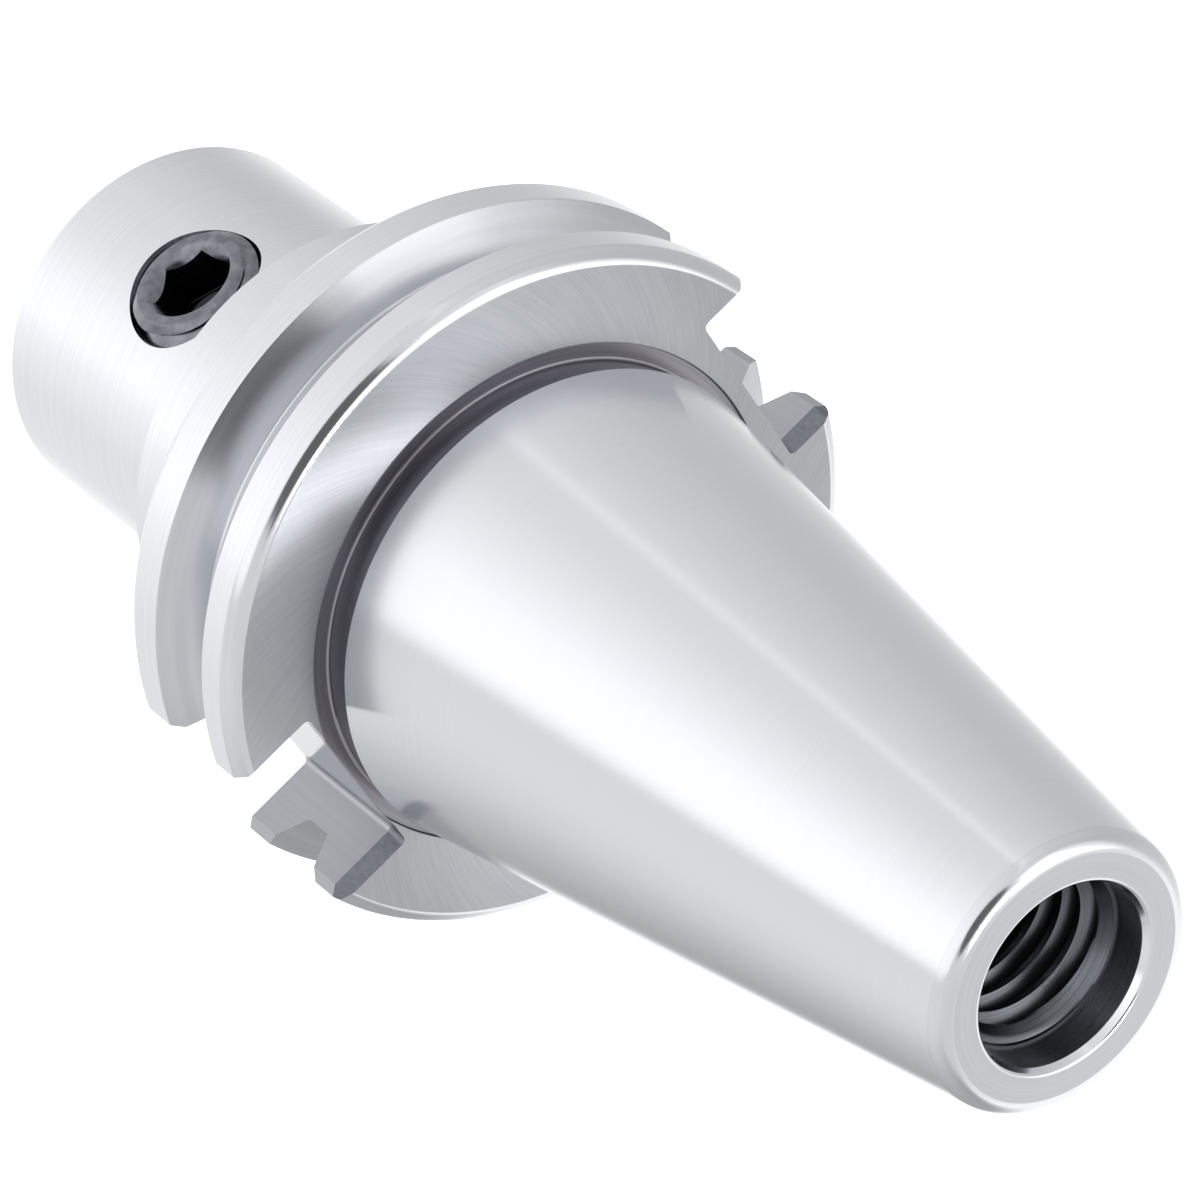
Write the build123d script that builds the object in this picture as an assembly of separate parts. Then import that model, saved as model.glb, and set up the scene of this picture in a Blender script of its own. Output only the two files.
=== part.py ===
from build123d import *
import math
import os

# End mill holder with a steep-taper shank: one turned, milled and ground steel body,
# and the socket set screw that clamps the cutter's shank.
# Millimetres. The origin is the centre of the nose's end face and +Z runs up the taper.
# +X points at the deeper drive slot, and the set screw looks along -Y.

# Taper shank, 7 in 24
GAUGE_DIA = 44.45
GAUGE_Z = 66.675
TAPER_PER_MM = 7 / 24
TAPER_START_DIA = 44.5
SHANK_LENGTH = 68.25
SHANK_END_ROUND = 1.6

# Flange with its gripper groove
FLANGE_DIA = 63.5
FLANGE_THICKNESS = 15.875
FLANGE_TO_GAUGE = 3.175
REAR_RIM_BREAK_R = 0.45
REAR_RIM_BREAK_Z = 0.8
FRONT_RIM_BREAK_R = 1.03
FRONT_RIM_BREAK_Z = 0.84
GROOVE_TO_GAUGE = 11.1
GROOVE_MOUTH = 7.38
GROOVE_FLOOR = 2.9
GROOVE_ANGLE = 60

# Undercut between the flange's front face and the taper
RECESS_DIA = 46.7
RECESS_DEPTH = 0.5
NECK_DIA = 43.2

# Drive slots
SLOT_WIDTH = 16.38
SLOT_FLOOR_DEEP = 22.6
SLOT_FLOOR_SHALLOW = 25.0
SLOT_CORNER_ROUND = 0.6
SLOT_FACE_BREAK_Y = 0.95
SLOT_FACE_BREAK_Z = 1.45
SLOT_REAR_BREAK = 1.05
SLOT_MOUTH_BREAK = 1.1

# Collar and nose
COLLAR_DIA = 43.4
COLLAR_TO_GAUGE = 35.0
COLLAR_EDGE_BREAK = 0.3
NOSE_DIA = 35.0
NOSE_BREAK = 3.175

# Tool bore and the passage behind it
TOOL_BORE_DIA = 12.7
TOOL_BORE_DEPTH = 54.0
TOOL_BORE_BREAK = 0.8
PASSAGE_DIA = 8.0

# Retention knob hole in the small end
KNOB_MOUTH_BREAK_R = 0.4
KNOB_MOUTH_BREAK_Z = 0.7
KNOB_PILOT_DIA = 16.2
KNOB_PILOT_DEPTH = 3.9
KNOB_THREAD_MAJOR = 15.875
KNOB_TAP_DIA = 13.5
KNOB_LEAD_ANGLE = 60
KNOB_HOLE_DEPTH = 44.5
DRILL_POINT_ANGLE = 118

# Set screw and its hole
SCREW_DIA = 12.5
SCREW_CLEARANCE = 0.05
SCREW_LENGTH = 11.1
SCREW_HEIGHT = 21.6
SCREW_PROUD = 0.45
SCREW_FACE_BREAK = 1.05
SCREW_POINT_DIA = 8.3
SCREW_HOLE_BREAK = 0.25
SOCKET_ACROSS_FLATS = 6.35
SOCKET_DEPTH = 5.2
SOCKET_MOUTH_DIA = 8.4
SOCKET_TURN = 37.5

# Heights and radii that follow
END_Z = GAUGE_Z + SHANK_LENGTH
FRONT_Z = GAUGE_Z - FLANGE_TO_GAUGE
REAR_Z = FRONT_Z - FLANGE_THICKNESS
GROOVE_Z = GAUGE_Z - GROOVE_TO_GAUGE
COLLAR_Z = GAUGE_Z - COLLAR_TO_GAUGE
FLANGE_R = FLANGE_DIA / 2
COLLAR_R = COLLAR_DIA / 2
NOSE_R = NOSE_DIA / 2
BORE_R = TOOL_BORE_DIA / 2
SCREW_R = SCREW_DIA / 2


def drill_tip(radius):
    """Depth of the cone that a drill of this radius leaves."""
    return radius / math.tan(math.radians(DRILL_POINT_ANGLE / 2))


def outer_profile():
    """Outline of the turned body, radius then height, from the nose up to the small end."""
    flank = (GROOVE_MOUTH - GROOVE_FLOOR) / 2
    groove_r = FLANGE_R - flank / math.tan(math.radians(GROOVE_ANGLE / 2))
    neck_r = NECK_DIA / 2
    start_r = TAPER_START_DIA / 2
    start_z = GAUGE_Z - (TAPER_START_DIA - GAUGE_DIA) / TAPER_PER_MM
    end_r = (GAUGE_DIA - TAPER_PER_MM * SHANK_LENGTH) / 2
    return [
        (NOSE_R - NOSE_BREAK, 0),
        (NOSE_R, NOSE_BREAK),
        (NOSE_R, COLLAR_Z),
        (COLLAR_R - COLLAR_EDGE_BREAK, COLLAR_Z),
        (COLLAR_R, COLLAR_Z + COLLAR_EDGE_BREAK),
        (COLLAR_R, REAR_Z),
        (FLANGE_R - REAR_RIM_BREAK_R, REAR_Z),
        (FLANGE_R, REAR_Z + REAR_RIM_BREAK_Z),
        (FLANGE_R, GROOVE_Z - GROOVE_MOUTH / 2),
        (groove_r, GROOVE_Z - GROOVE_FLOOR / 2),
        (groove_r, GROOVE_Z + GROOVE_FLOOR / 2),
        (FLANGE_R, GROOVE_Z + GROOVE_MOUTH / 2),
        (FLANGE_R, FRONT_Z - FRONT_RIM_BREAK_Z),
        (FLANGE_R - FRONT_RIM_BREAK_R, FRONT_Z),
        (RECESS_DIA / 2, FRONT_Z),
        (RECESS_DIA / 2, FRONT_Z - RECESS_DEPTH),
        (neck_r, FRONT_Z - RECESS_DEPTH),
        (neck_r, start_z - (start_r - neck_r)),
        (start_r, start_z),
        (end_r, END_Z),
    ]


def inner_profile():
    """Outline of the knob hole, the passage and the tool bore, from the small end down."""
    pilot_r = KNOB_PILOT_DIA / 2
    major_r = KNOB_THREAD_MAJOR / 2
    tap_r = KNOB_TAP_DIA / 2
    passage_r = PASSAGE_DIA / 2
    pilot_z = END_Z - KNOB_PILOT_DEPTH
    lead_z = pilot_z - (major_r - tap_r) / math.tan(math.radians(KNOB_LEAD_ANGLE / 2))
    knob_z = END_Z - KNOB_HOLE_DEPTH
    return [
        (pilot_r + KNOB_MOUTH_BREAK_R, END_Z),
        (pilot_r, END_Z - KNOB_MOUTH_BREAK_Z),
        (pilot_r, pilot_z),
        (major_r, pilot_z),
        (tap_r, lead_z),
        (tap_r, knob_z),
        (passage_r, knob_z - drill_tip(tap_r) + drill_tip(passage_r)),
        (passage_r, TOOL_BORE_DEPTH),
        (BORE_R, TOOL_BORE_DEPTH),
        (BORE_R, TOOL_BORE_BREAK),
        (BORE_R + TOOL_BORE_BREAK, 0),
    ]


def turned_body():
    """The body as it leaves the lathe, with the small end's edge rounded."""
    outline = Polyline(*outer_profile(), *inner_profile(), close=True)
    blank = revolve(Plane.XZ * make_face(outline), Axis.Z)
    end_edges = blank.edges().filter_by(GeomType.CIRCLE).filter_by_position(Axis.Z, END_Z - 0.01, END_Z + 0.01)
    return fillet(end_edges.sort_by(SortBy.RADIUS)[-1], SHANK_END_ROUND)


def slot_cutter(floor):
    """Cutter for one drive slot that opens towards +X, with the breaks along its edges."""
    reach = FLANGE_R + 2 * SLOT_MOUTH_BREAK
    half = SLOT_WIDTH / 2
    depth = reach - floor
    mid_z = (FRONT_Z + REAR_Z) / 2
    over = FLANGE_THICKNESS + 2
    channel = Pos((floor + reach) / 2, 0, mid_z) * Box(depth, SLOT_WIDTH, over)
    corners = channel.edges().filter_by(Axis.Z).sort_by(Axis.X)[:2]
    channel = fillet(corners, SLOT_CORNER_ROUND)

    front = Plane.YZ * make_face(Polyline(
        (-half, FRONT_Z - SLOT_FACE_BREAK_Z),
        (half, FRONT_Z - SLOT_FACE_BREAK_Z),
        (half + 2 * SLOT_FACE_BREAK_Y, FRONT_Z + SLOT_FACE_BREAK_Z),
        (-half - 2 * SLOT_FACE_BREAK_Y, FRONT_Z + SLOT_FACE_BREAK_Z),
        close=True,
    ))
    rear = Plane.YZ * make_face(Polyline(
        (-half, REAR_Z + SLOT_REAR_BREAK),
        (half, REAR_Z + SLOT_REAR_BREAK),
        (half + 2 * SLOT_REAR_BREAK, REAR_Z - SLOT_REAR_BREAK),
        (-half - 2 * SLOT_REAR_BREAK, REAR_Z - SLOT_REAR_BREAK),
        close=True,
    ))
    flares = Pos(floor, 0, 0) * (extrude(front, depth, dir=(1, 0, 0)) + extrude(rear, depth, dir=(1, 0, 0)))

    corner_x = math.sqrt(FLANGE_R**2 - half**2)
    mouth = Pos(0, 0, mid_z - over / 2) * make_face(Polyline(
        (corner_x - SLOT_MOUTH_BREAK, -half),
        (corner_x - SLOT_MOUTH_BREAK, half),
        (reach, half + reach - corner_x + SLOT_MOUTH_BREAK),
        (reach, -half - reach + corner_x - SLOT_MOUTH_BREAK),
        close=True,
    ))
    return channel + flares + extrude(mouth, over, dir=(0, 0, 1))


def screw_plane():
    """Plane whose +Z runs out along the screw from the tool bore's axis."""
    return Plane(origin=(0, 0, SCREW_HEIGHT), x_dir=(1, 0, 0), z_dir=(0, -1, 0))


def holder_body():
    """The finished one-piece body."""
    body = turned_body()
    body -= slot_cutter(SLOT_FLOOR_DEEP)
    body -= Rot(0, 0, 180) * slot_cutter(SLOT_FLOOR_SHALLOW)

    hole_r = SCREW_R + SCREW_CLEARANCE
    start = BORE_R / 2
    hole = Pos(0, 0, start) * Cylinder(hole_r, NOSE_DIA, align=(Align.CENTER, Align.CENTER, Align.MIN))
    body -= screw_plane() * hole
    rim = body.edges().filter_by_position(Axis.Y, -NOSE_R - 0.01, -NOSE_R / 2).filter_by_position(
        Axis.Z, SCREW_HEIGHT - hole_r - 0.01, SCREW_HEIGHT + hole_r + 0.01)
    return chamfer(rim, SCREW_HOLE_BREAK)


def set_screw():
    """Socket set screw at its place in the nose, with a flat point and a plain outside."""
    face = NOSE_R + SCREW_PROUD
    point = face - SCREW_LENGTH
    point_r = SCREW_POINT_DIA / 2
    outline = Polyline(
        (0, point),
        (point_r, point),
        (SCREW_R, point + SCREW_R - point_r),
        (SCREW_R, face - SCREW_FACE_BREAK),
        (SCREW_R - SCREW_FACE_BREAK, face),
        (0, face),
        close=True,
    )
    shank = revolve(Plane.XZ * make_face(outline), Axis.Z)
    corner_r = SOCKET_ACROSS_FLATS / 2 / math.cos(math.radians(30))
    hexagon = Pos(0, 0, face - SOCKET_DEPTH) * RegularPolygon(corner_r, 6, rotation=SOCKET_TURN)
    shank -= extrude(hexagon, SOCKET_DEPTH + 1)
    drill_r = SOCKET_ACROSS_FLATS / 2
    tip = drill_tip(drill_r)
    shank -= Pos(0, 0, face - SOCKET_DEPTH - tip) * Cone(
        0, drill_r, tip, align=(Align.CENTER, Align.CENTER, Align.MIN))
    mouth_r = SOCKET_MOUTH_DIA / 2
    mouth_depth = mouth_r - drill_r
    shank -= Pos(0, 0, face - mouth_depth) * Cone(
        drill_r, mouth_r, mouth_depth, align=(Align.CENTER, Align.CENTER, Align.MIN))
    return screw_plane() * shank


os.makedirs("parts", exist_ok=True)
export_step(holder_body(), "parts/holder_body.step")
export_step(set_screw(), "parts/set_screw.step")
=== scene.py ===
"""End mill holder with a steep-taper shank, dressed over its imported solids.

Sizes are millimetres, and they turn to metres where a mesh or a pattern is made. The holder stands on
its nose with its axis on Z, the deeper drive slot towards +X and the set screw towards -Y.
"""

import logging
import math
from dataclasses import dataclass
from enum import Enum, IntEnum
from typing import Any

import bmesh
import bpy
import numpy as np
from mathutils import Matrix, Vector


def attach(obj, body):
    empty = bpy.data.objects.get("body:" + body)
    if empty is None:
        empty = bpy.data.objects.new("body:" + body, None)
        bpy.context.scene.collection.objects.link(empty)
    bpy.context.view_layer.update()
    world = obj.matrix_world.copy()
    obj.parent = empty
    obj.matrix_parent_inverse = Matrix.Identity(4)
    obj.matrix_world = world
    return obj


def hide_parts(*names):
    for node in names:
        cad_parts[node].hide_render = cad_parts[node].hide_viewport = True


log = logging.getLogger("end_mill_holder")

Piece, Mesh, Material = bpy.types.Object, bpy.types.Mesh, bpy.types.Material
Tree, Node, Socket = bpy.types.NodeTree, bpy.types.Node, bpy.types.NodeSocket

MM = 0.001
GUARD = 0.02            # from the end of an arc to the point that keeps the flat beside it flat
WELD = 0.002            # points nearer than this are one
OVERSHOOT = 1.0         # a cutter stands this far out of the body
ARC_STEPS = 2           # steps in the smallest arc
ARC_STEPS_PER_MM = 5    # further steps for each millimetre of an arc's radius
NEAR = 0.02             # slack when a face's centre is compared with a surface
NEAR_ARC = 0.05         # the same where a rounding starts the surface
TILT = 0.02             # part of a normal above which a face leans that way
UPWARD = 0.2            # more than the cone looks up, at 0.144
SQUARE, LEVEL = 0.95, 0.999         # parts of a normal that look nearly, and straight, one way
NOISE_LOW, NOISE_HIGH = 0.3, 0.7    # most of a noise's values lie between these
RELIEF_HEIGHT = 0.01    # height of a bump at full strength
ACROSS_TANGENT = 0.25   # a quarter turn, which spreads a light across the tangent
FLATTEN = (1, 1, 0)
UP = (0, 0, 1)
WHITE = (1, 1, 1, 1)

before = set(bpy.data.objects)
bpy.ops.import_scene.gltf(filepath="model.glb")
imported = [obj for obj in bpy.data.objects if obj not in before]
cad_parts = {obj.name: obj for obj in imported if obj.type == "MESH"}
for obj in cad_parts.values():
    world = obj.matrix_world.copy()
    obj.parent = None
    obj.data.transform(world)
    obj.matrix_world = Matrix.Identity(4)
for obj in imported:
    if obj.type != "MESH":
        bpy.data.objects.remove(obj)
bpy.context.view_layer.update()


def to_light(tone: float) -> float:
    """Turns an sRGB tone c into light: c / 12.92 in the toe, and ((c + 0.055) / 1.055) ** 2.4 above it."""
    return tone / 12.92 if tone <= 0.04045 else ((tone + 0.055) / 1.055) ** 2.4


def linear(code: str) -> tuple[float, float, float, float]:
    """Turns an sRGB hex code, with or without its hash, into a linear colour with an alpha of 1."""
    red, green, blue = (to_light(byte / 255) for byte in bytes.fromhex(code.lstrip("#")))
    return (red, green, blue, 1.0)


def add(tree: Tree, kind: str, inputs: dict | None = None,
        stops: list[tuple[float, tuple]] | None = None, **settings: Any) -> Node:
    """Adds one node with its settings and its inputs.

    Args:
        tree: Node tree that takes the node.
        kind: Blender's name for the node's type, after ShaderNode.
        inputs: Socket name or index to a value, to the socket that feeds it, or to a node whose first
            output feeds it.
        stops: Position from 0 to 1 and linear colour of each stop, for a colour ramp.
        settings: Properties of the node itself.

    Returns:
        The new node.
    """
    node = tree.nodes.new("ShaderNode" + kind)
    for name, value in settings.items():
        setattr(node, name, value)
    for key, value in (inputs or {}).items():
        if isinstance(value, Node):
            value = value.outputs[0]
        if isinstance(value, Socket):
            tree.links.new(value, node.inputs[key])
        else:
            node.inputs[key].default_value = value
    if stops:
        elements = node.color_ramp.elements
        while len(elements) < len(stops):
            elements.new(0.5)
        for element, (position, colour) in zip(elements, stops):
            element.position = position
            element.color = colour
    return node


def grid_quads(rows: int, columns: int, close_rows: bool = False, close_columns: bool = True) -> np.ndarray:
    """Lists the quads of a grid of points numbered row by row.

    Quad (i, j) joins the points (i, j), (i, j + 1), (i + 1, j + 1) and (i + 1, j).

    Args:
        rows: Rows of points.
        columns: Points in a row.
        close_rows: Whether the last row joins the first.
        close_columns: Whether each row is a ring.

    Returns:
        Array of point numbers, four to a face.
    """
    i = np.arange(rows if close_rows else rows - 1)[:, None]
    j = np.arange(columns if close_columns else columns - 1)[None, :]
    here, there, beside = i * columns, (i + 1) % rows * columns, (j + 1) % columns
    return np.stack([here + j, here + beside, there + beside, there + j], axis=-1).reshape(-1, 4)


def rounded(corners: list[tuple[float, float, float]]) -> np.ndarray:
    """Rounds the corners of a closed outline.

    A corner of radius k starts k * tan(turn / 2) before its point and ends as far after it, on a circle
    of radius k, where turn is the angle between the two sides. A guard point just outside each end of
    the arc keeps the flat beside it flat when the surface is smoothed.

    Args:
        corners: Radius, height and corner radius of each point; a corner radius of 0 stays sharp.

    Returns:
        Array of radius and height, one row to a point.
    """
    points = np.array([corner[:2] for corner in corners])
    sizes = [corner[2] for corner in corners]
    arcs = []
    for point, before, after, size in zip(points, np.roll(points, 1, 0), np.roll(points, -1, 0), sizes):
        if size <= 0:
            arcs.append(point[None])
            continue
        into = (point - before) / np.linalg.norm(point - before)
        away = (after - point) / np.linalg.norm(after - point)
        turn = math.acos(float(np.clip(into @ away, -1, 1)))
        side = math.copysign(1, into[0] * away[1] - into[1] * away[0])
        start = point - into * size * math.tan(turn / 2)
        centre = start + side * size * np.array([-into[1], into[0]])
        angles = np.linspace(0, side * turn, ARC_STEPS + round(ARC_STEPS_PER_MM * size) + 1)
        arm = start - centre
        arc = centre + np.stack([np.cos(angles) * arm[0] - np.sin(angles) * arm[1],
                                 np.sin(angles) * arm[0] + np.cos(angles) * arm[1]], axis=1)
        arcs.append(np.concatenate([(start - GUARD * into)[None], arc, (arc[-1] + GUARD * away)[None]]))
    return np.concatenate(arcs)


def make_mesh(name: str, points: np.ndarray, faces: list) -> Piece:
    """Makes a linked mesh object from points in millimetres.

    Args:
        name: Name of the object and its mesh.
        points: Array of x, y, z.
        faces: Point numbers of each face.

    Returns:
        The object, at the origin.
    """
    mesh = bpy.data.meshes.new(name)
    mesh.from_pydata((points * MM).tolist(), [], faces)
    mesh.update()
    piece = bpy.data.objects.new(name, mesh)
    bpy.context.scene.collection.objects.link(piece)
    return piece


def make_capped(name: str, rings: np.ndarray, turned: bool) -> Piece:
    """Makes a closed mesh from a stack of rings with a flat cap at each end.

    Args:
        name: Name of the object.
        rings: Array of rings by points by 3, in millimetres.
        turned: Whether the faces go round the other way, to point outwards.

    Returns:
        The object.
    """
    rows, columns = rings.shape[:2]
    first, last = list(range(columns)), list(range((rows - 1) * columns, rows * columns))
    faces = [*grid_quads(rows, columns).tolist(), first[::-1], last]
    if turned:
        faces = [face[::-1] for face in faces]
    return make_mesh(name, rings.reshape(-1, 3), faces)


def make_shell(name: str, grids: list[np.ndarray]) -> Piece:
    """Makes one closed mesh from grids whose edges meet.

    Points that meet become one, which closes each grid's seam and joins the grids, and the faces are
    then turned outwards.

    Args:
        name: Name of the object.
        grids: Arrays of rows by columns by 3, in millimetres. The last column repeats the first.

    Returns:
        The object.
    """
    faces, base = [], 0
    for grid in grids:
        rows, columns = grid.shape[:2]
        faces += (grid_quads(rows, columns, close_columns=False) + base).tolist()
        base += rows * columns
    piece = make_mesh(name, np.concatenate([grid.reshape(-1, 3) for grid in grids]), faces)
    shell = bmesh.new()
    shell.from_mesh(piece.data)
    bmesh.ops.remove_doubles(shell, verts=shell.verts, dist=WELD * MM)
    bmesh.ops.recalc_face_normals(shell, faces=shell.faces)
    shell.to_mesh(piece.data)
    shell.free()
    return piece


def cut_away(body: Piece, cutters: list[Piece]) -> None:
    """Takes the cutters, which are closed meshes, out of the body and removes them."""
    for cutter in cutters:
        step = body.modifiers.new("cut", "BOOLEAN")
        step.operation = "DIFFERENCE"
        step.solver = "EXACT"
        step.object = cutter
    graph = bpy.context.evaluated_depsgraph_get()
    done = bpy.data.meshes.new_from_object(body.evaluated_get(graph))
    body.modifiers.clear()
    old = body.data
    body.data = done
    bpy.data.meshes.remove(old)
    for cutter in cutters:
        bpy.data.objects.remove(cutter)


def helix_rows(pitch: float, low: float, high: float, per_pitch: int,
               turn: np.ndarray) -> tuple[np.ndarray, np.ndarray]:
    """Lays rows along a right-hand thread.

    Row w lies at w + pitch * bearing / (2 pi), held between the two ends, so each row climbs one pitch in a
    turn and keeps its place in the thread's profile.

    Args:
        pitch: Thread pitch.
        low: Lower end along the axis.
        high: Upper end.
        per_pitch: Rows in one pitch.
        turn: Bearings of the columns, from 0 to 2 pi.

    Returns:
        Place along the axis and position in the profile from 0 to 1, both rows by columns.
    """
    step = pitch / per_pitch
    start = np.arange(math.floor((low - pitch) / step), math.ceil(high / step) + 1)
    place = np.clip(start[:, None] * step + pitch * turn[None, :] / (2 * np.pi), low, high)
    profile = np.broadcast_to((start % per_pitch)[:, None] / per_pitch, place.shape)
    return place, profile


def face_facts(mesh: Mesh) -> tuple[np.ndarray, np.ndarray]:
    """Reads the centres in millimetres and the normals of a mesh's faces, one row to a face."""
    count = len(mesh.polygons)
    centres, normals = np.empty(count * 3), np.empty(count * 3)
    mesh.polygons.foreach_get("center", centres)
    mesh.polygons.foreach_get("normal", normals)
    return centres.reshape(-1, 3) / MM, normals.reshape(-1, 3)


def smooth_shade(mesh: Mesh, angle: float) -> None:
    """Smooths the mesh and keeps each edge sharp whose faces meet at more than the angle in degrees."""
    mesh.shade_smooth()
    mesh.set_sharp_from_angle(angle=math.radians(angle))


class Slot(Enum):
    """Material slots of the record."""

    BODY = "body_steel"
    SCREW = "screw_steel"


class Zone(IntEnum):
    """Surfaces of the holder that were finished in different ways; the cross hole's zone also carries
    painted shade.
    """

    NOSE = 0
    LAND = 1
    GROOVE = 2
    FACE = 3
    UNDERCUT = 4
    TAPER = 5
    SLOT = 6
    BORE = 7
    END = 8
    MOUTH = 9
    HOLE = 10
    EDGE = 11
    NECK = 12
    SLOT_BREAK = 13
    SLOT_FLOOR = 14


class Lay(Enum):
    """Which way the marks of the last cut run."""

    ROUND = "round the axis"
    AXIAL = "along the axis"


def start_material(name: str) -> tuple[Material, Tree]:
    """Starts a node material of this name, and returns it with its empty tree."""
    material = bpy.data.materials.new(name)
    material.use_nodes = True
    material.node_tree.nodes.clear()
    return material, material.node_tree


def end_metal(tree: Tree, inputs: dict) -> None:
    """Ends a material's tree with a metal shader that has these inputs."""
    shader = add(tree, "BsdfPrincipled", {"Metallic": 1.0, **inputs})
    add(tree, "OutputMaterial", {"Surface": shader})


@dataclass(frozen=True)
class CutSteel:
    """Steel with the fine parallel marks that turning, grinding or milling leaves.

    The marks spread a reflection across themselves and keep it sharp along themselves, so a wall shows
    soft stretched lights. Their own relief is too fine to see from a step away.
    """

    name: str
    tint: str
    dark_tint: str
    roughness: float
    anisotropy: float
    mark_spacing: float
    relief: float
    lay: Lay = Lay.ROUND
    round_length: float = 25.0
    axial_length: float = 20.0
    climb: float = 1.3
    detail: float = 2.0
    gloss_swing: float = 0.03

    def material(self) -> Material:
        """Builds the material: metal whose tone, gloss and relief follow marks of the real spacing.

        The marks are noise, slow along themselves and fast across. Round the axis the fast direction is
        the radius plus climb times the height, so a mark keeps its tone round walls, cones and faces
        alike. Along the axis it is x and y. The shader's tangent runs along the marks.

        Returns:
            The material.
        """
        material, tree = start_material(self.name)
        place = add(tree, "TexCoord").outputs["Object"]
        fast = 1 / (self.mark_spacing * MM)
        if self.lay is Lay.ROUND:
            slow = 1 / (self.round_length * MM)
            parts = add(tree, "SeparateXYZ", {0: place}).outputs
            flat = add(tree, "VectorMath", {0: place, 1: FLATTEN}, operation="MULTIPLY")
            radius = add(tree, "VectorMath", {0: flat}, operation="LENGTH").outputs["Value"]
            across = add(tree, "Math", {0: parts["Z"], 1: self.climb, 2: radius},
                         operation="MULTIPLY_ADD")
            grain = add(tree, "CombineXYZ", {0: parts["X"], 1: parts["Y"], 2: across})
            scale = (slow, slow, fast)
            along = add(tree, "VectorMath", {0: UP, 1: place}, operation="CROSS_PRODUCT")
        else:
            slow = 1 / (self.axial_length * MM)
            grain = place
            scale = (fast, fast, slow)
            along = add(tree, "CombineXYZ", {2: 1.0})
        marks = add(tree, "Mapping", {"Vector": grain, "Scale": scale})
        noise = add(tree, "TexNoise", {"Vector": marks, "Scale": 1.0, "Detail": self.detail})
        colour = add(tree, "ValToRGB", {"Fac": noise},
                     stops=[(NOISE_LOW, linear(self.dark_tint)), (NOISE_HIGH, linear(self.tint))])
        gloss = add(tree, "MapRange", {0: noise, 1: NOISE_LOW, 2: NOISE_HIGH,
                                       3: self.roughness * (1 - self.gloss_swing),
                                       4: self.roughness * (1 + self.gloss_swing)})
        bump = add(tree, "Bump", {"Height": noise, "Strength": self.relief,
                                  "Distance": RELIEF_HEIGHT * MM})
        end_metal(tree, {"Base Color": colour, "Roughness": gloss, "Anisotropic": self.anisotropy,
                         "Anisotropic Rotation": ACROSS_TANGENT, "Tangent": along, "Normal": bump})
        return material


@dataclass(frozen=True)
class CupGroundSteel:
    """Steel face ground with the rim of a cup wheel.

    The wheel's rim crosses the face in long slanting arcs, so the face is matt but for one streak of
    light, which leans as the arcs do.
    """

    name: str
    tint: str
    dark_tint: str
    roughness: float
    anisotropy: float
    scratch_spacing: float
    slant: float
    lean: tuple[float, float]
    relief: float
    middle_r: float = 27.0
    arc_length: float = 1000 / 220
    apart: float = 40.0
    second_share: float = 0.2
    detail: float = 2.5
    dark_at: float = 0.4
    light_at: float = 0.8

    def material(self) -> Material:
        """Builds the material: metal with two families of arcs that cross.

        A point is turned about the axis by slant times its radius, so an arc of the real slant becomes a
        line of constant bearing, and noise is fast in bearing and slow in radius. The second family turns
        the other way. The gloss runs round the axis, turned by the lean at the middle radius and by so
        much more for each millimetre outwards.

        Returns:
            The material.
        """
        material, tree = start_material(self.name)
        place = add(tree, "TexCoord").outputs["Object"]
        flat = add(tree, "VectorMath", {0: place, 1: FLATTEN}, operation="MULTIPLY")
        radius = add(tree, "VectorMath", {0: flat}, operation="LENGTH").outputs["Value"]
        bearing = add(tree, "VectorMath", {0: flat}, operation="NORMALIZE")
        fast, slow = self.middle_r / self.scratch_spacing, 1 / (self.arc_length * MM)
        families = []
        for sign in (-1, 1):
            turn = add(tree, "Math", {0: radius, 1: sign * self.slant / MM}, operation="MULTIPLY")
            turned = add(tree, "VectorRotate", {"Vector": bearing, "Angle": turn}, rotation_type="Z_AXIS")
            spread = add(tree, "VectorMath", {0: turned, 1: (fast, fast, 0)}, operation="MULTIPLY")
            reach = add(tree, "Math", {0: radius, 1: slow, 2: sign * self.apart},
                        operation="MULTIPLY_ADD")
            far = add(tree, "CombineXYZ", {2: reach})
            spot = add(tree, "VectorMath", {0: spread, 1: far}, operation="ADD")
            families.append(add(tree, "TexNoise", {"Vector": spot, "Scale": 1.0, "Detail": self.detail}))
        arcs = add(tree, "Math", {0: families[1], 1: self.second_share, 2: families[0]},
                   operation="MULTIPLY_ADD")
        colour = add(tree, "ValToRGB", {"Fac": arcs},
                     stops=[(self.dark_at, linear(self.dark_tint)), (self.light_at, linear(self.tint))])
        bump = add(tree, "Bump", {"Height": arcs, "Strength": self.relief,
                                  "Distance": RELIEF_HEIGHT * MM})
        around = add(tree, "VectorMath", {0: UP, 1: bearing}, operation="CROSS_PRODUCT")
        start, more = (math.radians(angle) for angle in self.lean)
        lean = add(tree, "Math", {0: radius, 1: more / MM, 2: start - more * self.middle_r},
                   operation="MULTIPLY_ADD")
        grain = add(tree, "VectorRotate", {"Vector": around, "Angle": lean}, rotation_type="Z_AXIS")
        end_metal(tree, {"Base Color": colour, "Roughness": self.roughness,
                         "Anisotropic": self.anisotropy, "Anisotropic Rotation": ACROSS_TANGENT,
                         "Tangent": grain, "Normal": bump})
        return material


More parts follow.
